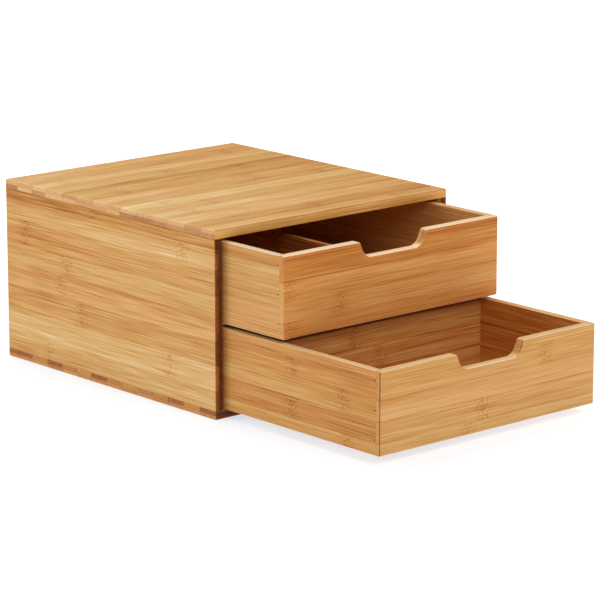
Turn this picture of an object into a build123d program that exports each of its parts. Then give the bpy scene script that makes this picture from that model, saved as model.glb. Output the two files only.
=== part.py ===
from build123d import *
import os
from math import radians, tan

# Bamboo table box with two open-topped drawers, for tea bags.
#
# The case is a butted and dowelled box with a thin shelf between its two drawers and
# a thin back panel let into grooves. Each drawer has a front that is rabbeted over
# the ends of its sides, a back between the sides, and small pins through the corners,
# all round a thin bottom panel that sits in grooves.
#
# Origin: the middle of the case's footprint, on the surface that it stands on.
# X runs to the right as seen from the front, Y to the rear and Z up. The two drawers
# are drawn pulled out, each by its own distance. All sizes are in millimetres.

# ---------------------------------------------------------------- the case
case_width = 300.0
case_depth = 330.0
panel = 9.0                 # thickness of the top, the bottom and the two sides
case_ease = 2.0             # rounding of the case's outer arrises
opening_ease = 0.8          # rounding of the arrises round the front opening

shelf_thickness = 3.0
shelf_housing = 3.0         # depth of its grooves in the side panels
shelf_setback = 5.0         # its front edge stands this far inside the case
shelf_notch = 6.0           # its front corners are notched over the groove ends

back_thickness = 4.0
back_housing = 4.0          # depth of its grooves, all round
back_setback = 6.0          # from the rear of the case to the back panel

dowel_diameter = 5.0
dowel_in_panel = 6.0        # depth of a dowel hole in the top or the bottom
dowel_in_side = 16.0        # depth of a dowel hole in the end of a side panel
dowel_edge = 35.0           # first and last dowel, from the front and the rear
dowels_per_joint = 3
glue_room = 0.5             # space at the blind ends of dowels and pins

# ------------------------------------------------------------- the drawers
drawer_height = 79.0
front_thickness = 9.0
front_lip = 5.0             # what the rabbet leaves in front of a side's end
side_thickness = 8.0
rear_thickness = 8.0
board_ease = 0.8            # rounding of the boards' arrises
front_chamfer = 0.8         # at the fronts' arrises, round the finger notch too

bottom_thickness = 4.0
bottom_housing = 4.0        # depth of its grooves in the four boards
bottom_height = 5.0         # from a drawer's underside to its bottom panel

notch_width = 85.0          # finger notch, at the rim of a front
notch_depth = 15.5
notch_lean = 23.0           # its sides lean out from upright, in degrees
notch_floor_radius = 12.0
notch_rim_radius = 4.0

divider_thickness = 6.0
divider_drop = 9.0          # its top edge lies this far below the rim
divider_housing = 2.0       # depth of its housings in the front and the back
tea_row = 83.0              # clear width of the row to the left of the divider

pin_width = 1.3             # the pins are cut from flat wire and have T-shaped heads
pin_thickness = 1.0
pin_length = 18.0
pin_head = 2.0
pin_head_height = 0.6
pin_point = 0.4             # chamfer at the point
pin_set = 0.5               # a head is driven this far below the wood
pin_top = 9.0               # top pin, from the rim
pin_low = 14.0              # lowest pin, from the drawer's underside
pins_per_corner = 3

# ------------------------------------------------- clearances and travels
fit = 0.2                   # play of a panel in its groove
bore_fit = 0.05             # room round a dowel or a pin
side_gap = 2.5              # between a drawer and each side panel
slide_gap = 0.3             # under a drawer, where it slides
lower_headroom = 0.9        # above the lower drawer
upper_headroom = 3.5        # above the upper drawer
closed_recess = 1.0         # a closed front stands this far inside the case
upper_pull = 85.0           # how far each drawer is drawn out, from closed
lower_pull = 217.0

# ------------------------------------------------------ what follows from them
inside_width = case_width - 2 * panel
inside_height = 2 * (slide_gap + drawer_height) + lower_headroom + shelf_thickness + upper_headroom
case_height = inside_height + 2 * panel
case_front = -case_depth / 2
case_rear = case_depth / 2
side_face = inside_width / 2                      # inner face of a side panel
side_middle = side_face + panel / 2
shelf_z = panel + slide_gap + drawer_height + lower_headroom
shelf_front = case_front + shelf_setback
groove_height = shelf_thickness + fit
groove_front = shelf_front + shelf_notch          # front end of the shelf's grooves
back_rear = case_rear - back_setback
back_front = back_rear - back_thickness

drawer_width = inside_width - 2 * side_gap
drawer_length = back_front - case_front - closed_recess
drawer_half = drawer_width / 2
inner_half = drawer_half - side_thickness         # inner face of a drawer's side
closed_y = case_front + closed_recess             # front face of a closed drawer
lower_z = panel + slide_gap                       # undersides of the two drawers
upper_z = shelf_z + shelf_thickness + slide_gap
notch_half = notch_width / 2
notch_floor_half = notch_half - notch_depth * tan(radians(notch_lean))
divider_left = -inner_half + tea_row
divider_right = divider_left + divider_thickness


def save(piece, name):
    """Name a finished piece and write it to its own file."""
    piece.part.label = name
    export_step(piece.part, f"parts/{name}.step")


def block(xs, ys, zs, mode=Mode.ADD):
    """A block between two places along each axis, given in either order."""
    spans = [sorted(pair) for pair in (xs, ys, zs)]
    centre = tuple((low + high) / 2 for low, high in spans)
    size = [high - low for low, high in spans]
    with Locations(centre):
        Box(*size, mode=mode)


def evenly(first, last, count):
    """Places from first to last at one spacing."""
    return [first + (last - first) * i / (count - 1) for i in range(count)]


# ------------------------------------------------------------------ the case
def dowel_places(x, z):
    """The dowels of one joint, in a row from front to rear, from height z."""
    return [(x, y, z) for y in evenly(case_front + dowel_edge, case_rear - dowel_edge, dowels_per_joint)]


def bore_dowels(places, depth, upwards):
    """Blind dowel holes going up or down from their places."""
    start = Align.MIN if upwards else Align.MAX
    with Locations(places):
        Cylinder(dowel_diameter / 2 + bore_fit, depth, align=(Align.CENTER, Align.CENTER, start),
                 mode=Mode.SUBTRACT)


def case_board(name, outer_z, inner_z):
    """The top or the bottom panel, which lies over the ends of the side panels."""
    outward = 1 if outer_z > inner_z else -1
    groove_half = side_face + back_housing
    with BuildPart() as board:
        with BuildSketch(Plane.XY.offset(inner_z)):
            Rectangle(case_width, case_depth)
        extrude(amount=outward * panel)
        outer_face = board.faces().sort_by(Axis.Z, reverse=outward > 0)[0]
        fillet(board.edges().filter_by(Axis.Z) + outer_face.edges(), radius=case_ease)
        inner_face = board.faces().sort_by(Axis.Z, reverse=outward < 0)[0]
        fillet(inner_face.edges().filter_by(Axis.X).sort_by(Axis.Y)[0], radius=opening_ease)
        block((-groove_half, groove_half), (back_front - fit, back_rear),
              (inner_z, inner_z + outward * back_housing), mode=Mode.SUBTRACT)
        places = dowel_places(-side_middle, inner_z) + dowel_places(side_middle, inner_z)
        bore_dowels(places, dowel_in_panel, upwards=outward > 0)
    save(board, name)


def side_panel(name, side):
    """A side panel of the case: side is -1 for the left one and 1 for the right one."""
    inner, outer = side * side_face, side * case_width / 2
    low, high = panel, case_height - panel
    with BuildPart() as board:
        block((inner, outer), (case_front, case_rear), (low, high))
        uprights = board.edges().filter_by(Axis.Z).sort_by(Axis.X, reverse=side > 0)
        inner_front = uprights[2:].sort_by(Axis.Y)[0]
        fillet(uprights[:2], radius=case_ease)
        fillet(inner_front, radius=opening_ease)
        # the shelf's groove, with the round end that its cutter leaves
        straight = groove_front + groove_height / 2
        top, middle = shelf_z + groove_height, shelf_z + groove_height / 2
        with BuildSketch(Plane.YZ.offset(inner)):
            with BuildLine():
                Polyline((straight, shelf_z), (back_rear, shelf_z), (back_rear, top), (straight, top))
                ThreePointArc((straight, top), (groove_front, middle), (straight, shelf_z))
            make_face()
        extrude(amount=side * shelf_housing, mode=Mode.SUBTRACT)
        # the back panel's groove, from end to end
        block((inner, inner + side * back_housing), (back_front - fit, back_rear),
              (low, high), mode=Mode.SUBTRACT)
        bore_dowels(dowel_places(side * side_middle, low), dowel_in_side, upwards=True)
        bore_dowels(dowel_places(side * side_middle, high), dowel_in_side, upwards=False)
    save(board, name)


def back_panel():
    """The thin back of the case, let into grooves on all four sides."""
    half = side_face + back_housing - fit
    reach = back_housing - fit
    with BuildPart() as board:
        block((-half, half), (back_front, back_rear), (panel - reach, case_height - panel + reach))
    save(board, "back_panel")


def middle_shelf():
    """The thin shelf that the upper drawer slides on, tongued into the side panels."""
    tongue_front = groove_front + groove_height / 2 + fit
    bare_half = side_face - fit
    half = side_face + shelf_housing - fit
    rear = back_front - fit
    with BuildPart() as board:
        with BuildSketch(Plane.XY.offset(shelf_z)):
            with BuildLine():
                Polyline((bare_half, tongue_front), (bare_half, shelf_front), (-bare_half, shelf_front),
                         (-bare_half, tongue_front), (-half, tongue_front), (-half, rear),
                         (half, rear), (half, tongue_front), close=True)
            make_face()
        extrude(amount=shelf_thickness)
        nose = board.edges().filter_by(Axis.X).group_by(Axis.Y)[0]
        fillet(nose, radius=min(opening_ease, shelf_thickness * 0.3))
    save(board, "middle_shelf")


def case_dowels():
    """The glued dowels that join the side panels to the top and the bottom."""
    length = dowel_in_panel + dowel_in_side - 2 * glue_room
    lower_end = panel - dowel_in_panel + glue_room
    upper_end = case_height - lower_end - length
    with BuildPart() as dowels:
        for x in (-side_middle, side_middle):
            with Locations(dowel_places(x, lower_end) + dowel_places(x, upper_end)):
                Cylinder(dowel_diameter / 2, length, align=(Align.CENTER, Align.CENTER, Align.MIN))
    save(dowels, "case_dowels")


# --------------------------------------------------------------- the drawers
def pin_heights(underside):
    """The heights of the pins at one corner."""
    return evenly(underside + pin_low, underside + drawer_height - pin_top, pins_per_corner)


def pin_depths(front_y):
    """How far back the pins stand, at the front corners and at the rear ones."""
    tongue_middle = front_y + (front_lip + front_thickness) / 2
    return tongue_middle, front_y + drawer_length - rear_thickness / 2


def inward_bars(side, x, ys, underside, width, length, room=0.0, mode=Mode.ADD):
    """Pins, heads or their holes at the pins' places, going inward from x on one side."""
    with Locations([(x - side * length / 2, y, z) for y in ys for z in pin_heights(underside)]):
        Box(length, width + 2 * room, pin_thickness + 2 * room, mode=mode)


def bore_pin_ends(y, underside):
    """The pins' holes in both ends of a board that stands between the sides."""
    depth = pin_set + pin_length - side_thickness + glue_room
    for side in (-1, 1):
        inward_bars(side, side * inner_half, [y], underside, pin_width, depth, bore_fit, Mode.SUBTRACT)


def groove_for_bottom(xs, ys, underside):
    """The bottom panel's groove in a board."""
    low = underside + bottom_height
    block(xs, ys, (low, low + bottom_thickness + fit), mode=Mode.SUBTRACT)


def house_divider(inner_y, inward, underside):
    """The divider's stopped housing in the front or the back of a drawer."""
    low = underside + bottom_height + bottom_thickness
    high = underside + drawer_height - divider_drop
    block((divider_left - fit / 2, divider_right + fit / 2), (inner_y, inner_y + inward * divider_housing),
          (low, high + fit), mode=Mode.SUBTRACT)


def drawer_front(name, underside, front_y, divided):
    """A front board: notched for the fingers and rabbeted over the sides' ends."""
    rim, floor = underside + drawer_height, underside + drawer_height - notch_depth
    inner_y, lip_y = front_y + front_thickness, front_y + front_lip
    with BuildPart() as board:
        with BuildSketch(Plane.XZ.offset(-front_y)) as outline:
            with BuildLine():
                Polyline((-drawer_half, underside), (drawer_half, underside), (drawer_half, rim),
                         (notch_half, rim), (notch_floor_half, floor), (-notch_floor_half, floor),
                         (-notch_half, rim), (-drawer_half, rim), close=True)
            make_face()
            corners = outline.vertices().sort_by(Axis.X)[2:-2].group_by(Axis.Y)
            fillet(corners[0], radius=notch_floor_radius)
            corners = outline.vertices().group_by(Axis.Y)[-1].sort_by(Axis.X)
            fillet(corners[1:-1], radius=notch_rim_radius)
        extrude(amount=-front_thickness)
        short_arrises = board.edges().filter_by(Axis.Y).group_by(Axis.X)
        chamfer(short_arrises[0] + short_arrises[-1], length=front_chamfer)
        chamfer(board.faces().sort_by(Axis.Y)[0].edges(), length=front_chamfer)
        for side in (-1, 1):
            block((side * inner_half, side * drawer_half), (lip_y, inner_y),
                  (underside, rim), mode=Mode.SUBTRACT)
        inner_arrises = board.faces().sort_by(Axis.Y)[-1].edges()
        chamfer(inner_arrises.filter_by(lambda edge: edge.center().Z > floor - fit), length=front_chamfer)
        groove_for_bottom((-inner_half, inner_half), (inner_y, inner_y - bottom_housing), underside)
        bore_pin_ends(pin_depths(front_y)[0], underside)
        if divided:
            house_divider(inner_y, -1, underside)
    save(board, name)


def drawer_side(name, side, underside, front_y):
    """A side board: side is -1 for the left one and 1 for the right one."""
    inner, outer = side * inner_half, side * drawer_half
    start, end = front_y + front_lip, front_y + drawer_length
    with BuildPart() as board:
        block((inner, outer), (start, end), (underside, underside + drawer_height))
        rear_uprights = board.edges().filter_by(Axis.Z).group_by(Axis.Y)[-1]
        outer_rear = rear_uprights.sort_by(Axis.X, reverse=side > 0)[0]
        fillet(board.edges().filter_by(Axis.Y) + outer_rear, radius=board_ease)
        groove_for_bottom((inner, inner + side * bottom_housing),
                          (start, end - rear_thickness + bottom_housing), underside)
        ys = pin_depths(front_y)
        sunk = pin_set + pin_head_height
        inward_bars(side, outer, ys, underside, pin_width, side_thickness, bore_fit, Mode.SUBTRACT)
        inward_bars(side, outer, ys, underside, pin_head, sunk, bore_fit, Mode.SUBTRACT)
    save(board, name)


def drawer_back(name, underside, front_y, divided):
    """The back board, between the sides."""
    rear = front_y + drawer_length
    inner_y = rear - rear_thickness
    with BuildPart() as board:
        block((-inner_half, inner_half), (inner_y, rear), (underside, underside + drawer_height))
        fillet(board.edges().filter_by(Axis.X), radius=board_ease)
        groove_for_bottom((-inner_half, inner_half), (inner_y, inner_y + bottom_housing), underside)
        bore_pin_ends(pin_depths(front_y)[1], underside)
        if divided:
            house_divider(inner_y, 1, underside)
    save(board, name)


def drawer_bottom(name, underside, front_y):
    """The thin bottom panel, in the grooves of the four boards."""
    reach = bottom_housing - fit
    low = underside + bottom_height
    with BuildPart() as board:
        block((-inner_half - reach, inner_half + reach),
              (front_y + front_thickness - reach, front_y + drawer_length - rear_thickness + reach),
              (low, low + bottom_thickness))
    save(board, name)


def drawer_divider(name, underside, front_y):
    """The divider between two rows, housed in the front and the back."""
    reach = divider_housing - fit
    low = underside + bottom_height + bottom_thickness
    with BuildPart() as board:
        block((divider_left, divider_right),
              (front_y + front_thickness - reach, front_y + drawer_length - rear_thickness + reach),
              (low, underside + drawer_height - divider_drop))
        fillet(board.edges().filter_by(Axis.Y).group_by(Axis.Z)[-1], radius=board_ease)
    save(board, name)


def drawer_pins(name, underside, front_y):
    """The pins that hold the four corners, driven in from the sides."""
    ys = pin_depths(front_y)
    with BuildPart() as pins:
        for side in (-1, 1):
            inward_bars(side, side * (drawer_half - pin_set), ys, underside, pin_width, pin_length)
        points = pins.faces().filter_by(Axis.X).filter_by(lambda face: abs(face.center().X) < inner_half)
        chamfer(points.edges(), length=pin_point)
        for side in (-1, 1):
            inward_bars(side, side * (drawer_half - pin_set), ys, underside, pin_head, pin_head_height)
    save(pins, name)


def drawer(name, underside, pull, divided):
    """All the pieces of one drawer, drawn out by pull from where it is closed."""
    front_y = closed_y - pull
    drawer_front(name + "_front", underside, front_y, divided)
    drawer_side(name + "_left_side", -1, underside, front_y)
    drawer_side(name + "_right_side", 1, underside, front_y)
    drawer_back(name + "_back", underside, front_y, divided)
    drawer_bottom(name + "_bottom", underside, front_y)
    drawer_pins(name + "_pins", underside, front_y)
    if divided:
        drawer_divider(name + "_divider", underside, front_y)


os.makedirs("parts", exist_ok=True)
case_board("bottom_panel", 0, panel)
case_board("top_panel", case_height, case_height - panel)
side_panel("left_side_panel", -1)
side_panel("right_side_panel", 1)
back_panel()
middle_shelf()
case_dowels()
drawer("lower_drawer", lower_z, lower_pull, divided=False)
drawer("upper_drawer", upper_z, upper_pull, divided=True)
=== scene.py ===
"""A bamboo box with two drawers: its finish, on the solids of the frame, and a plain studio."""
import random
from collections import namedtuple
from dataclasses import dataclass
from math import cos, radians, sin

import bpy
from mathutils import Matrix, Vector


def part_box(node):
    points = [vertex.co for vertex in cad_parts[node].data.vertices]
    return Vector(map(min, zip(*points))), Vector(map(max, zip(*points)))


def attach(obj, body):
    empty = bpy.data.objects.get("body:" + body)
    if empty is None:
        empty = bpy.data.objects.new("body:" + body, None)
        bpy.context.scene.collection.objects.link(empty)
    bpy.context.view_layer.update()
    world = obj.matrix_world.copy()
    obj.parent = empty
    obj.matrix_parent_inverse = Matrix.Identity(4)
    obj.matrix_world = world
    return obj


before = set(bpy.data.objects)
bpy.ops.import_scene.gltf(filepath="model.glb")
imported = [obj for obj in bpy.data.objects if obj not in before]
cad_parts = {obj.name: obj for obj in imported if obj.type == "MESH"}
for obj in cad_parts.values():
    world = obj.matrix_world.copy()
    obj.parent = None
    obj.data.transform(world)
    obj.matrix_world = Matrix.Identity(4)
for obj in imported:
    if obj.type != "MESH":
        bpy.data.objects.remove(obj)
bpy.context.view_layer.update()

MM = 0.001
PICTURE = 600.0             # the picture's width and height, in pixels

# ---------------------------------------------------------------- the boards' strips
# Bamboo boards are pressed from strips. Tones run from 0, dark, to 1, pale. Strips are listed
# from the top or the rear of a board. A knuckle is given by its distance along the grain, from
# the board's left or rear end. behind is the tone of the strip behind. Sizes are in mm.
Strip = namedtuple("Strip", "width tone knuckle behind")
NONE = -1000.0              # the place of a knuckle that a strip doesn't have

TOP_STRIPS = [
    (22, 0.67, 118, 0.42), (24, 0.63, 258, 0.74), (22, 0.75, 34, 0.52), (26, 0.66, 147, 0.74),
    (24, 0.55, 222, 0.70), (26, 0.60, 47, 0.60), (23, 0.69, 196, 0.62), (21, 0.61, 266, 0.70),
    (24, 0.75, 48, 0.42), (24, 0.66, 83, 0.40), (24, 0.68, 41, 0.46), (26, 0.71, 83, 0.54),
    (24, 0.55, 150, 0.48), (20, 0.67, 240, 0.50),
]
BOTTOM_STRIPS = [
    (20, 0.52, 60, 0.35), (22, 0.56, 210, 0.34), (25, 0.60, 140, 0.54), (24, 0.50, 80, 0.34),
    (25, 0.62, 250, 0.50), (23, 0.56, 30, 0.60), (25, 0.54, 170, 0.35), (24, 0.58, 110, 0.50),
    (24, 0.54, 200, 0.58), (24, 0.60, 65, 0.50), (24, 0.52, 155, 0.52), (24, 0.56, 235, 0.36),
    (24, 0.58, 20, 0.56), (22, 0.54, 100, 0.34),
]
LEFT_STRIPS = [
    (9.5, 0.43, 145, 0.5), (4.0, 0.54, 282, 0.5), (15.5, 0.65, 282, 0.5), (25.5, 0.56, 32, 0.5),
    (21.3, 0.64, 100, 0.5), (22.5, 0.62, 90, 0.5), (23.8, 0.55, 124, 0.5), (24.5, 0.71, 262, 0.5),
    (19.4, 0.62, 69, 0.5),
]
UPPER_FRONT_STRIPS = [
    (4, 0.46, NONE, 0.6), (21, 0.47, NONE, 0.6), (19, 0.59, 6, 0.6), (20, 0.61, 71, 0.6),
    (15, 0.55, 8, 0.6),
]
LOWER_FRONT_STRIPS = [
    (6.5, 0.62, NONE, 0.6), (20, 0.61, 210, 0.6), (20, 0.66, NONE, 0.6), (21, 0.62, 130, 0.6),
    (11.5, 0.65, 110, 0.6),
]
UPPER_LEFT_STRIPS = [
    (11, 0.53, NONE, 0.6), (14, 0.59, NONE, 0.6), (25, 0.59, NONE, 0.6), (21, 0.60, NONE, 0.6),
    (8, 0.62, NONE, 0.6),
]
LOWER_LEFT_STRIPS = [
    (7.5, 0.56, NONE, 0.6), (18.5, 0.51, 200, 0.6), (20.5, 0.56, 271, 0.6), (21, 0.48, 199, 0.6),
    (11.5, 0.57, 275, 0.6),
]
MADE_UP_WIDTH = 23.0        # of the strips that the photograph doesn't show


def made_up_strips(seed, span, length, middle):
    """Strips for a board that the photograph doesn't show, about as dark as middle."""
    pick = random.Random(seed)
    strips = []
    while span > 0:
        width = min(span, MADE_UP_WIDTH + pick.uniform(-2, 2))
        tone = middle + pick.uniform(-0.06, 0.06)
        knuckle = pick.uniform(0.05, 0.95) * length
        behind = middle + pick.uniform(-0.15, 0.12)
        strips.append((width, tone, knuckle, behind))
        span -= width
    return strips


# ---------------------------------------------------------------- the figure of bamboo
# The tone scale, as seen in even light (red, green and blue, 0 to 255).
TONES = [
    (0.00, (84, 38, 14)),
    (0.20, (142, 78, 32)),
    (0.36, (178, 113, 52)),
    (0.50, (197, 139, 70)),
    (0.64, (211, 162, 98)),
    (0.80, (223, 182, 126)),
    (1.00, (247, 224, 190)),
]

# The pinkest and the yellowest wood, against the tone scale, and the pale grey that end grain is mixed
# toward.
CASTS = [(1.05, 0.955, 1.02), (0.98, 1.03, 0.98)]
CAST_OFF_FACES = 0.25       # how much of the cast a board's ends and edges take
END_GREY = 0.8

# Of a pair, the first is where something starts to show and the second where it shows in full.
# How far a side is turned to a direction, from 0 to 1, to count as an end, an edge or an arris:
END_TURN, RIM_TURN, ARRIS_TURN = (0.45, 0.75), (0.55, 0.85), (0.3, 0.55)

# Sizes in mm.
PLY_STAGGER = 1.3           # the strips behind are this far out of line
KNUCKLE_BAND = (13.0, 6.5)  # from the middle of a knuckle
KNUCKLE_CORE = (4.5, 1.0)
KNUCKLE_WAVE = 5.0          # how far the middle of a knuckle wanders
KNUCKLE_RAG = 4.0           # and the edges of its band
KNUCKLE_PUSH = 1.6          # how far it pushes the fibres aside
BEHIND_FADE = 0.6           # how much fainter a knuckle is in the strips behind
GLUE_LINE = (1.3, 0.3)      # from a glued edge
PLY_SEAM = (0.5, 0.1)       # from the joint between the plies
RELIEF = 0.06               # depth of the fibres

# How far each thing moves the tone: on a board's faces,
BANDS, STREAKS, LINES, HAIRS, DARK_FIBRES = 0.14, 0.065, 0.15, 0.23, -0.09
GLUE, WORMS, SPECKLES, KNUCKLE, CORE = -0.16, 0.05, 0.13, -0.045, -0.035
# on its end grain,
END_DOTS, END_BLOTS, END_GLUE, END_SEAM = 0.16, 0.16, -0.10, -0.07
# and on its edges along the grain, which have a tone of their own.
RIM_TONE, RIM_LUCK, RIM_FIBRES, RIM_SEAM = 0.60, 0.08, 0.8, -0.05

# The finish: between the roughest and the glossiest fibres, and how much rougher the ends are.
ROUGHEST, GLOSSIEST, ROUGHER_ENDS = 0.62, 0.50, 0.25
SPECULAR = 0.16

# Each strip of a board reads the noise in a lane of its own. The lanes start this far on for the
# board's second ply, and for the next board.
PLY_LANES, SEED_LANES = 31.0, 7.0


def linear(colour):
    """A colour as seen, 0 to 255, as the shader's numbers."""
    parts = [c / 255 for c in colour]
    return [c / 12.92 if c <= 0.04045 else ((c + 0.055) / 1.055) ** 2.4 for c in parts] + [1.0]


def grey(value):
    return (value, value, value, 1.0)


# ---------------------------------------------------------------- materials
class Graph:
    """The nodes of one material, made and joined."""

    def __init__(self, name):
        self.material = bpy.data.materials.new(name)
        self.material.use_nodes = True
        self.tree = self.material.node_tree
        self.tree.nodes.clear()

    def node(self, kind, inputs=None, **settings):
        made = self.tree.nodes.new("ShaderNode" + kind)
        for key, value in settings.items():
            setattr(made, key, value)
        for key, value in (inputs or {}).items():
            if isinstance(value, bpy.types.NodeSocket):
                self.tree.links.new(value, made.inputs[key])
            else:
                made.inputs[key].default_value = value
        return made

    def math(self, operation, a, b=0.0, clamp=False):
        return self.node("Math", {0: a, 1: b}, operation=operation, use_clamp=clamp).outputs[0]

    def add(self, *values):
        total = values[0]
        for value in values[1:]:
            total = self.math("ADD", total, value)
        return total

    def times(self, *values):
        total = values[0]
        for value in values[1:]:
            total = self.math("MULTIPLY", total, value)
        return total

    def less(self, a, b):
        return self.math("SUBTRACT", a, b)

    def apart(self, a, b):
        """How far two values are apart."""
        return self.math("ABSOLUTE", self.less(a, b))

    def vector(self, operation, a, b=(0, 0, 0)):
        return self.node("VectorMath", {0: a, 1: b}, operation=operation).outputs[0]

    def combine(self, x, y, z):
        return self.node("CombineXYZ", {0: x, 1: y, 2: z}).outputs[0]

    def split(self, value):
        return list(self.node("SeparateXYZ", {0: value}).outputs)

    def step(self, value, low, high, at_low=0.0, at_high=1.0):
        """A smooth step between two values."""
        inputs = {"Value": value, "From Min": low, "From Max": high, "To Min": at_low, "To Max": at_high}
        return self.node("MapRange", inputs, interpolation_type="SMOOTHSTEP").outputs[0]

    def mix(self, share, a, b):
        """A number that goes from a to b."""
        return self.node("Mix", {0: share, 2: a, 3: b}, data_type="FLOAT").outputs[0]

    def blend(self, share, a, b, how="MIX"):
        """A colour that goes from a to b, or to a multiplied by b."""
        return self.node("Mix", {0: share, 6: a, 7: b}, data_type="RGBA", blend_type=how).outputs[2]

    def noise(self, place, scale=1.0, detail=2.0):
        """Soft noise, about -1 to 1."""
        made = self.node("TexNoise", {"Vector": place, "Scale": scale, "Detail": detail, "Roughness": 0.5})
        return self.times(self.less(made.outputs[0], 0.5), 2.0)

    def chance(self, a, b=0.0):
        """A steady random number, 0 to 1, for a pair of values."""
        place = self.combine(a, b, 0.37)
        return self.node("TexWhiteNoise", {"Vector": place}, noise_dimensions="3D").outputs[0]

    def ramp(self, value, stops, interpolation="LINEAR"):
        made = self.node("ValToRGB", {0: value})
        made.color_ramp.interpolation = interpolation
        elements = made.color_ramp.elements
        elements.remove(elements[1])
        elements[0].position, elements[0].color = stops[0]
        for place, colour in stops[1:]:
            elements.new(place).color = colour
        return made.outputs[0]

    def surface(self, **inputs):
        named = {key.replace("_", " "): value for key, value in inputs.items()}
        shader = self.node("BsdfPrincipled", named)
        output = self.node("OutputMaterial")
        self.tree.links.new(shader.outputs[0], output.inputs[0])


@dataclass
class Look:
    """How the bamboo of one board departs from the plain kind. A shift makes it darker or paler."""
    plies: int = 2                      # its layers of strips, 1 or 2
    shift: float = 0.0                  # of all the board
    end_shift: float = 0.0              # of its end grain
    rim_shift: float = 0.0              # of its edges along the grain: paler is a painted highlight, darker a painted shade
    arris_shift: float = 0.15           # of its arrises along the grain: paler is a painted highlight, darker a painted shade
    corner_shift: float = 0.1           # of its arrises at the ends: paler is a painted highlight
    lengthwise: float = 0.0             # how much paler it gets from its first end to its last
    uneven: float = 0.22                # how much a strip's tone may change across it
    figure: float = 1.0                 # the strength of the fibres
    pink: float = 0.0                   # how much pinker the whole board is
    tint: tuple = (1.0, 1.0, 1.0)       # its faces are multiplied by this
    rim_tint: tuple = (1.0, 1.0, 1.0)   # and its edges along the grain by this
    haze: float = 0.03                  # how grey its end grain is
    seed: int = 0


# A board faces the way that its first ply shows. Each value has the board's grain, across and
# through directions, and the corner that its strips are measured from: -1 or 1, the low or the
# high side, for each of X, Y and Z.
FACING_UP = ("XYZ", (-1, 1, 1))
FACING_DOWN = ("XYZ", (-1, 1, -1))
FACING_LEFT = ("YZX", (-1, 1, 1))
FACING_RIGHT = ("YZX", (1, 1, 1))
FACING_FRONT = ("XZY", (-1, -1, 1))
FACING_REAR = ("XZY", (-1, 1, 1))


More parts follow.
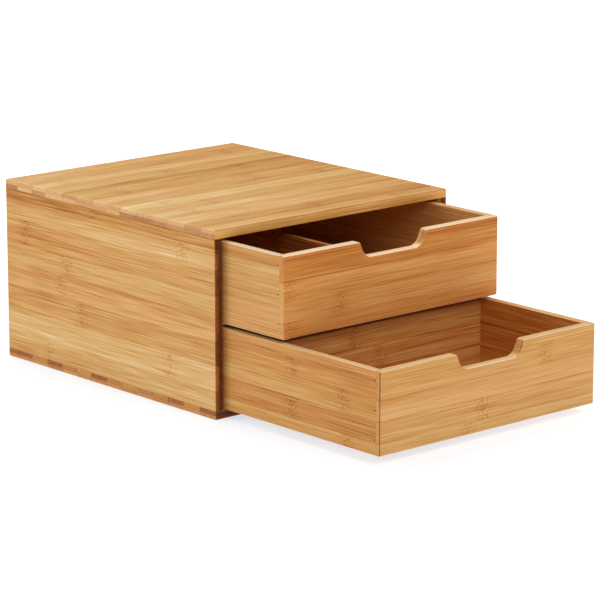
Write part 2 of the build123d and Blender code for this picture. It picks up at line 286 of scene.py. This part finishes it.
class Bamboo(Graph):
    """Pressed bamboo for one board, whose lowest and highest corners are in box."""

    def __init__(self, name, box, facing, strips, **look):
        super().__init__(name)
        self.look = Look(**look)
        self.strips = [Strip(*strip) for strip in strips]
        self.find_place(box, *facing)
        self.find_strip()
        self.add_knuckles()
        self.add_fibres()
        self.add_joints()
        self.surface(Base_Color=self.colour(), Roughness=self.roughness(), Normal=self.relief(),
                     Specular_IOR_Level=SPECULAR)

    def find_place(self, box, axes, corner):
        """Where in the board a point lies, in mm, and on which of its sides.

        x runs along the grain, y across it and z through the board.
        """
        low, high = box
        grain, across, through = ["XYZ".index(axis) for axis in axes]
        start = [(high if side > 0 else low)[i] / MM for i, side in enumerate(corner)]
        size = [(high[i] - low[i]) / MM for i in range(3)]
        self.length, self.width, self.thickness = size[grain], size[across], size[through]

        coordinates = self.node("TexCoord")
        place = self.vector("MULTIPLY", coordinates.outputs["Object"], (1 / MM,) * 3)
        inside = self.split(self.vector("ABSOLUTE", self.vector("SUBTRACT", place, start)))
        self.x, self.y, self.z = inside[grain], inside[across], inside[through]

        turned = self.split(self.vector("ABSOLUTE", coordinates.outputs["Normal"]))
        self.on_end = self.step(turned[grain], *END_TURN)
        self.on_rim = self.step(turned[across], *RIM_TURN)
        self.on_arris = self.step(self.math("MINIMUM", turned[across], turned[through]), *ARRIS_TURN)
        self.on_corner = self.step(self.math("MINIMUM", turned[grain], turned[through]), *ARRIS_TURN)

    def find_strip(self):
        """Which strip a point lies in, where across it, and what that strip is like."""
        self.ply = 0.0
        if self.look.plies == 2:
            self.ply = self.math("GREATER_THAN", self.z, self.thickness / 2)
        count = len(self.strips)
        total = sum(strip.width for strip in self.strips)
        edges, reached = [(0.0, grey(0.0))], 0.0
        for i, strip in enumerate(self.strips):
            reached += strip.width
            edges.append((min(reached / total, 1.0), grey((i + 1) / count)))
        staggered = self.add(self.y, self.times(self.ply, PLY_STAGGER))
        share = self.math("DIVIDE", staggered, self.width, clamp=True)
        self.counted = self.times(self.ramp(share, edges), count)
        index = self.math("FLOOR", self.math("MINIMUM", self.counted, count - 0.001))
        self.part = self.less(self.counted, index)
        self.mean_width = total / count

        here = self.math("DIVIDE", self.add(index, 0.5), count)
        tones = [(i / count, (strip.tone, strip.behind, 0.0, 1.0)) for i, strip in enumerate(self.strips)]
        facts = self.ramp(here, tones, "CONSTANT")
        self.tone, self.behind, _ = self.node("SeparateColor", {0: facts}).outputs
        reach = 2 * self.length     # beyond the board, for knuckles that aren't there
        places = [strip.knuckle if strip.knuckle >= 0 else reach for strip in self.strips]
        shares = [(i / count, grey(place / reach)) for i, place in enumerate(places)]
        self.knuckle = self.times(self.ramp(here, shares, "CONSTANT"), reach)
        self.lane = self.add(index, self.times(self.ply, PLY_LANES), self.look.seed * SEED_LANES)
        self.luck = self.chance(self.lane)

    def spot(self, along, across, depth):
        """A place in the noise, which moves on by so much to the mm along and across the grain."""
        return self.combine(self.times(self.x, along), self.times(self.y, across), depth)

    def patches(self, along, across):
        """The mottled wood of a knuckle, coarse or fine."""
        return self.noise(self.spot(along, across, self.add(self.z, self.lane)), detail=1.0)

    def add_knuckles(self):
        """Knuckles: a wavy band of mottled wood across a strip, with a darker core."""
        wander = self.noise(self.combine(self.times(self.y, 0.12), self.lane, 0.0))
        away = self.apart(self.x, self.add(self.knuckle, self.times(wander, KNUCKLE_WAVE)))
        ragged = self.add(away, self.times(self.noise(self.spot(0.1, 0.5, self.lane)), KNUCKLE_RAG))
        shown = self.less(1.0, self.times(self.ply, BEHIND_FADE))
        self.near = self.times(self.step(ragged, *KNUCKLE_BAND), shown)
        self.core = self.times(self.step(away, *KNUCKLE_CORE), shown)
        self.mottle = self.patches(0.30, 0.44)
        self.worms = self.step(self.mottle, -0.2, 0.2, -1.0, 1.0)
        self.speckle = self.patches(0.6, 0.8)
        self.dotted = self.step(self.speckle, -0.1, 0.35, -0.3, 1.0)

    def fibres(self, length, width, salt, detail):
        """One layer of fibres, about as long and as wide as given. salt tells the layers apart."""
        depth = self.add(self.times(self.z, 0.9 / width), self.times(self.lane, 3.7), salt)
        spot = self.combine(self.times(self.x, 1 / length), self.times(self.bent, 1 / width), depth)
        return self.noise(spot, detail=detail)

    def add_fibres(self):
        """Bands, streaks and single fibres, straight but for the knuckles that push them aside."""
        self.bent = self.add(self.y, self.times(self.near, self.mottle, KNUCKLE_PUSH))
        self.bands = self.fibres(length=260.0, width=9.0, salt=1.3, detail=2.0)
        self.streaks = self.fibres(length=170.0, width=2.8, salt=5.1, detail=2.0)
        self.lines = self.fibres(length=110.0, width=1.2, salt=9.4, detail=1.0)
        self.hairs = self.fibres(length=45.0, width=0.8, salt=12.7, detail=0.0)
        self.dark = self.step(self.fibres(length=150.0, width=1.5, salt=20.1, detail=1.0), 0.2, 0.5)
        layers = ((self.streaks, STREAKS), (self.lines, LINES), (self.hairs, HAIRS))
        self.grained = self.times(self.add(*[self.times(*layer) for layer in layers]), self.look.figure)

    def add_joints(self):
        """The dark lines of the glued edges, broken along their length, and of the joint of the plies."""
        edge = self.times(self.math("MINIMUM", self.part, self.less(1.0, self.part)), self.mean_width)
        which = self.times(self.math("ROUND", self.counted), 5.3)
        broken = self.noise(self.combine(self.times(self.x, 0.012), which, self.look.seed))
        self.glue = self.times(self.step(edge, *GLUE_LINE), self.step(broken, -0.3, 0.4))
        seam = self.step(self.apart(self.z, self.thickness / 2), *PLY_SEAM)
        self.seam = self.times(seam, self.look.plies - 1)

    def face_tone(self):
        figure = self.look.figure
        slope = self.times(self.less(self.part, 0.5), self.less(self.luck, 0.5), self.look.uneven)
        drift = self.times(self.less(self.math("DIVIDE", self.x, self.length), 0.5), self.look.lengthwise)
        return self.add(
            self.tone, slope, drift, self.times(self.bands, BANDS * figure), self.grained,
            self.times(self.dark, DARK_FIBRES * figure), self.times(self.glue, GLUE * figure),
            self.times(self.near, self.worms, WORMS), self.times(self.near, self.dotted, SPECKLES),
            self.times(self.near, KNUCKLE), self.times(self.core, CORE))

    def end_tone(self):
        def spots(across, through, lane):
            return self.noise(self.combine(self.times(self.y, across), self.times(self.z, through), lane))

        dots, blots = spots(1.2, 1.2, self.lane), spots(0.2, 0.5, self.add(self.lane, 40.0))
        return self.add(
            self.mix(self.ply, self.tone, self.behind), self.times(dots, END_DOTS),
            self.times(blots, END_BLOTS), self.times(self.glue, END_GLUE),
            self.times(self.seam, END_SEAM), self.look.end_shift)

    def rim_tone(self):
        # The edge's own tone, with its painted light added: a highlight where paler, shade where darker.
        return self.add(
            RIM_TONE, self.times(self.less(self.luck, 0.5), RIM_LUCK), self.times(self.grained, RIM_FIBRES),
            self.times(self.seam, RIM_SEAM), self.look.rim_shift)

    def cast(self):
        """The hue, which wanders between pinker and yellower."""
        wander = self.noise(self.spot(0.02, 0.22, self.times(self.lane, 5.0)))
        hue = self.add(self.times(wander, 0.9), self.times(self.chance(self.lane, 3.0), 0.5))
        hue = self.math("ADD", hue, 0.3 - self.look.pink, clamp=True)
        tint = self.look.tint
        pinker, yellower = [[a * b for a, b in zip(turn, tint)] + [1.0] for turn in CASTS]
        return self.blend(hue, pinker, yellower)

    def colour(self):
        look = self.look
        tone = self.mix(self.on_rim, self.face_tone(), self.rim_tone())
        tone = self.mix(self.on_end, tone, self.end_tone())
        # The painted highlights and shade of the arrises.
        tone = self.add(tone, self.times(self.on_arris, look.arris_shift),
                        self.times(self.on_corner, look.corner_shift))
        tone = self.math("ADD", tone, look.shift, clamp=True)
        colour = self.ramp(tone, [(at, linear(rgb)) for at, rgb in TONES])
        off_faces = self.math("MAXIMUM", self.on_rim, self.on_end)
        cast_share = self.step(off_faces, 0.0, 1.0, 1.0, CAST_OFF_FACES)
        colour = self.blend(cast_share, colour, self.cast(), "MULTIPLY")
        colour = self.blend(self.on_rim, colour, (*look.rim_tint, 1.0), "MULTIPLY")
        return self.blend(self.times(self.on_end, look.haze), colour, grey(END_GREY))

    def roughness(self):
        along = self.step(self.add(self.streaks, self.hairs), -1.0, 1.0, ROUGHEST, GLOSSIEST)
        return self.add(along, self.times(self.on_end, ROUGHER_ENDS))

    def relief(self):
        height = self.add(self.times(self.lines, 0.6), self.times(self.hairs, 0.5),
                          self.times(self.near, self.speckle, 0.8), self.times(self.glue, -1.2))
        return self.node("Bump", {"Height": height, "Distance": RELIEF * MM, "Strength": 0.6}).outputs[0]


def pin_steel():
    """Dull steel, with a trace of the filler that covers the heads."""
    graph = Graph("pin_steel")
    place = graph.vector("MULTIPLY", graph.node("TexCoord").outputs["Object"], (1 / MM,) * 3)
    stain = graph.noise(place, scale=1.8, detail=3.0)
    dull, bright = linear((52, 30, 16)), linear((96, 62, 36))
    colour = graph.ramp(graph.step(stain, -0.7, 0.7), [(0.0, dull), (1.0, bright)])
    rough = graph.step(stain, -0.7, 0.7, 0.62, 0.42)
    graph.surface(Base_Color=colour, Roughness=rough, Metallic=0.35)
    return graph.material


def dowel_wood():
    """Pale turned wood with its grain upright."""
    graph = Graph("dowel_wood")
    place = graph.vector("MULTIPLY", graph.node("TexCoord").outputs["Object"], (900.0, 900.0, 60.0))
    grain = graph.noise(place, detail=3.0)
    dark, pale = linear((196, 152, 104)), linear((228, 196, 150))
    colour = graph.ramp(graph.step(grain, -0.8, 0.8), [(0.0, dark), (1.0, pale)])
    rough = graph.step(grain, -0.8, 0.8, 0.75, 0.6)
    graph.surface(Base_Color=colour, Roughness=rough)
    return graph.material


# ---------------------------------------------------------------- new objects
def new_object(name, data):
    obj = bpy.data.objects.new(name, data)
    bpy.context.scene.collection.objects.link(obj)
    return obj


def new_mesh(name, corners, faces, material):
    mesh = bpy.data.meshes.new(name)
    mesh.from_pydata(corners, [], faces)
    mesh.materials.append(material)
    return new_object(name, mesh)


# ---------------------------------------------------------------- the solids' looks
def dress(node, material):
    """Give a solid its material."""
    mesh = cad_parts[node].data
    mesh.materials.clear()
    mesh.materials.append(material)


def seen_board(node, facing, strips, **look):
    """Dress a board in the strips that the photograph shows."""
    dress(node, Bamboo("bamboo_" + node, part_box(node), facing, strips, **look).material)


def made_up_bamboo(name, box, facing, seed, middle, **look):
    """Bamboo for a board whose strips the photograph doesn't show."""
    along, across = ["XYZ".index(axis) for axis in facing[0][:2]]
    length, width = [(box[1][axis] - box[0][axis]) / MM for axis in (along, across)]
    strips = made_up_strips(seed, width, length, middle)
    return Bamboo("bamboo_" + name, box, facing, strips, seed=seed, **look).material


def hidden_board(node, facing, **look):
    """Dress a board in strips of its own."""
    dress(node, made_up_bamboo(node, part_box(node), facing, **look))


WARM_WOOD_AND_SHADE = (1.09, 0.98, 0.81)   # the tint of the more orange boards: partly their own wood, partly a painted warm shade

# Below, paler edges and arrises along the grain are painted highlights, and darker ones painted shade. The
# top's tint lightens it, painted light from above; it is paler towards its left end, a painted sheen, and
# its arrises are darkened, a painted shade over the light they catch.
seen_board("top_panel", FACING_UP, TOP_STRIPS, lengthwise=-0.16, uneven=0.35, figure=1.1, pink=-0.15,
           tint=(1.08, 1.06, 0.98), haze=0.085, end_shift=-0.08, rim_shift=0.08, arris_shift=-0.24,
           rim_tint=(1.12, 1.03, 0.80), seed=1)
# Its front edge is much darker: partly its own tone, partly painted shade under the drawers.
seen_board("bottom_panel", FACING_DOWN, BOTTOM_STRIPS, end_shift=-0.10, rim_shift=-0.56, seed=2)
seen_board("left_side_panel", FACING_LEFT, LEFT_STRIPS, lengthwise=0.06, uneven=0.35,
           tint=(0.97, 1.0, 1.0), end_shift=-0.47, corner_shift=0.15, haze=0.0, seed=3)
hidden_board("right_side_panel", FACING_RIGHT, middle=0.6, pink=0.25, end_shift=-0.47,
             corner_shift=0.15, haze=0.0, seed=4)
hidden_board("back_panel", FACING_REAR, middle=0.5, plies=1, seed=5)
hidden_board("middle_shelf", FACING_UP, middle=0.5, plies=1, seed=6)
dress("case_dowels", dowel_wood())

# Its orange tint is partly a painted warm shade; its pale rims and arrises are painted highlights.
seen_board("upper_drawer_front", FACING_FRONT, UPPER_FRONT_STRIPS, lengthwise=0.03, figure=0.8, pink=0.4,
           tint=WARM_WOOD_AND_SHADE, rim_shift=0.36, arris_shift=0.3, corner_shift=0.04, seed=7)
seen_board("upper_drawer_left_side", FACING_LEFT, UPPER_LEFT_STRIPS, figure=0.75, uneven=0.2,
           rim_shift=0.3, tint=(0.97, 1.01, 1.04), seed=8)
# The drawers' right sides: pinker and more orange, a painted warm shade of the drawers' insides; the upper
# one paler, painted light bounced inside the drawer.
hidden_board("upper_drawer_right_side", FACING_RIGHT, middle=0.69, pink=0.3, tint=WARM_WOOD_AND_SHADE, rim_shift=0.2,
             seed=9)
hidden_board("upper_drawer_back", FACING_REAR, middle=0.5, rim_shift=0.1, seed=10)
hidden_board("upper_drawer_bottom", FACING_UP, middle=0.5, plies=1, seed=11)
# Dark and pink, with a darker top edge and no paler arrises: a painted shade, deep in the drawer.
hidden_board("upper_drawer_divider", FACING_LEFT, middle=0.26, pink=0.3, plies=1, rim_shift=-0.36,
             arris_shift=0.0, seed=12)

# Its pale rims and arrises are painted highlights; its end arrises are given darker lines.
seen_board("lower_drawer_front", FACING_FRONT, LOWER_FRONT_STRIPS, shift=-0.015, lengthwise=0.02,
           figure=0.7, uneven=0.4, end_shift=-0.08, rim_shift=0.22, arris_shift=0.2, corner_shift=-0.3,
           seed=13)
seen_board("lower_drawer_left_side", FACING_LEFT, LOWER_LEFT_STRIPS, lengthwise=-0.08, figure=0.8,
           rim_shift=0.22, seed=14)
# Pinker and more orange: a painted warm shade of the drawer's inside.
hidden_board("lower_drawer_right_side", FACING_RIGHT, middle=0.53, pink=0.3, tint=WARM_WOOD_AND_SHADE, rim_shift=0.18,
             seed=15)
hidden_board("lower_drawer_back", FACING_REAR, middle=0.48, rim_shift=0.1, seed=16)
hidden_board("lower_drawer_bottom", FACING_UP, middle=0.48, plies=1, seed=17)

steel = pin_steel()
for drawer in ("upper_drawer", "lower_drawer"):
    dress(drawer + "_pins", steel)


# ---------------------------------------------------------------- the lower drawer's divider
FRONT_BAY = 137.5           # from the front board to the divider, in mm
DIVIDER_THICKNESS = 6.0
DIVIDER_DROP = 2.5          # its top edge lies this far below the drawer's rim
DIVIDER_EASE = 0.8          # rounding of its top arrises
EASE_STEPS = 4


def lower_drawer_divider():
    """A board across the lower drawer, on its bottom and between its sides. The frame doesn't have it."""
    left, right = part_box("lower_drawer_left_side")[1][0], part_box("lower_drawer_right_side")[0][0]
    foot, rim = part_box("lower_drawer_bottom")[1][2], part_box("lower_drawer_left_side")[1][2]
    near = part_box("lower_drawer_front")[1][1] + FRONT_BAY * MM
    far, top = near + DIVIDER_THICKNESS * MM, rim - DIVIDER_DROP * MM
    ease = DIVIDER_EASE * MM
    outline = [(near, foot), (far, foot)]
    for middle, first in ((far - ease, 0.0), (near + ease, 90.0)):
        for i in range(EASE_STEPS + 1):
            turn = radians(first + 90.0 * i / EASE_STEPS)
            outline.append((middle + ease * cos(turn), top - ease + ease * sin(turn)))
    count = len(outline)
    corners = [(x, y, z) for x in (left, right) for y, z in outline]
    sides = [(i, (i + 1) % count, count + (i + 1) % count, count + i) for i in range(count)]
    ends = [tuple(reversed(range(count))), tuple(range(count, 2 * count))]
    material = made_up_bamboo("lower_drawer_divider", ((left, near, foot), (right, far, top)), FACING_FRONT,
                              seed=18, middle=0.5, pink=0.3, plies=1)
    obj = new_mesh("lower_drawer_divider", corners, sides + ends, material)
    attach(obj, "lower_drawer")


lower_drawer_divider()


# ---------------------------------------------------------------- studio
FLOOR_REACH = 8.0
# Pinkish, so that under the bluish glow its shade comes out grey.
FLOOR_COLOUR = (0.65, 0.51, 0.42, 1.0)
# The floor glows, so that it is white all round. Near the box it glows less, and bluer: a painted bluish
# shadow, which also lets the box's own shadow show there.
# The middle of the painted shadow, left of the box.
PAINTED_SHADOW_MIDDLE = (-0.35, -0.10, 0.0)
PAINTED_SHADOW_FADE = (0.25, 1.4)     # the painted shadow fades out between these distances from its middle
PAINTED_SHADOW_GLOW = (0.50, 0.63, 0.72, 1.0)

LIGHT_AIM = (0.0, -0.1, 0.1)
LIGHT_WIDTH = 1.6
SKY_STRENGTH = 0.30


def floor():
    """A wide pale floor that glows, with a painted bluish shadow near the box."""
    reach = FLOOR_REACH
    graph = Graph("floor_white_with_painted_shadow")
    place = graph.vector("SUBTRACT", graph.node("TexCoord").outputs["Object"], PAINTED_SHADOW_MIDDLE)
    away = graph.node("VectorMath", {0: place}, operation="LENGTH").outputs[1]
    glow = graph.blend(graph.step(away, *PAINTED_SHADOW_FADE), PAINTED_SHADOW_GLOW, grey(1.0))
    graph.surface(Base_Color=FLOOR_COLOUR, Roughness=0.9, Specular_IOR_Level=0.1,
                  Emission_Color=glow, Emission_Strength=1.0)
    corners = [(-reach, -reach, 0), (reach, -reach, 0), (reach, reach, 0), (-reach, reach, 0)]
    obj = new_mesh("floor", corners, [(0, 1, 2, 3)], graph.material)


def soft_light(name, place, power):
    """A large soft light, turned to the box."""
    data = bpy.data.lights.new(name, "AREA")
    data.shape, data.size, data.energy = "SQUARE", LIGHT_WIDTH, power
    obj = new_object(name, data)
    obj.location = place
    obj.rotation_euler = (Vector(LIGHT_AIM) - Vector(place)).to_track_quat("-Z", "Y").to_euler()


def studio():
    """Even white surroundings and three large soft lights."""
    world = bpy.data.worlds.new("studio")
    bpy.context.scene.world = world
    world.use_nodes = True
    background = world.node_tree.nodes["Background"]
    background.inputs["Color"].default_value = grey(1.0)
    background.inputs["Strength"].default_value = SKY_STRENGTH
    soft_light("left", place=(-2.6, 1.2, 0.75), power=29.0)
    soft_light("front", place=(-0.3, -2.3, 2.2), power=35.0)
    soft_light("overhead", place=(0.4, 0.9, 2.5), power=30.0)
    settings = bpy.context.scene.view_settings
    settings.view_transform = "Standard"
    settings.look = "None"


# The camera stands as the photograph's did. The aim is a point inside the object, and
# AIM_PIXEL is where that point lies in the picture.
AZIMUTH, ELEVATION, ROLL = radians(-41.225), radians(13.461), radians(-0.043)
FOCAL_PIXELS = 3201.5
SENSOR = 36.0               # Blender's own sensor width, in mm
DISTANCE = 3.1752
AIM = Vector((0.0, -0.075, 0.060))
AIM_PIXEL = (273.565, 317.302)


def camera():
    data = bpy.data.cameras.new("camera")
    data.sensor_width = SENSOR
    data.lens = FOCAL_PIXELS * SENSOR / PICTURE
    data.clip_end = 50.0
    obj = new_object("camera", data)
    back = Vector((sin(AZIMUTH) * cos(ELEVATION), -cos(AZIMUTH) * cos(ELEVATION), sin(ELEVATION)))
    level_right = Vector((0, 0, 1)).cross(back).normalized()
    level_up = back.cross(level_right)
    right = cos(ROLL) * level_right + sin(ROLL) * level_up
    up = cos(ROLL) * level_up - sin(ROLL) * level_right
    aside = (AIM_PIXEL[0] - PICTURE / 2) / FOCAL_PIXELS * DISTANCE
    below = (AIM_PIXEL[1] - PICTURE / 2) / FOCAL_PIXELS * DISTANCE
    obj.matrix_world = Matrix((right, up, back)).transposed().to_4x4()
    obj.location = AIM + back * DISTANCE - right * aside + up * below
    bpy.context.scene.camera = obj


floor()
studio()
camera()
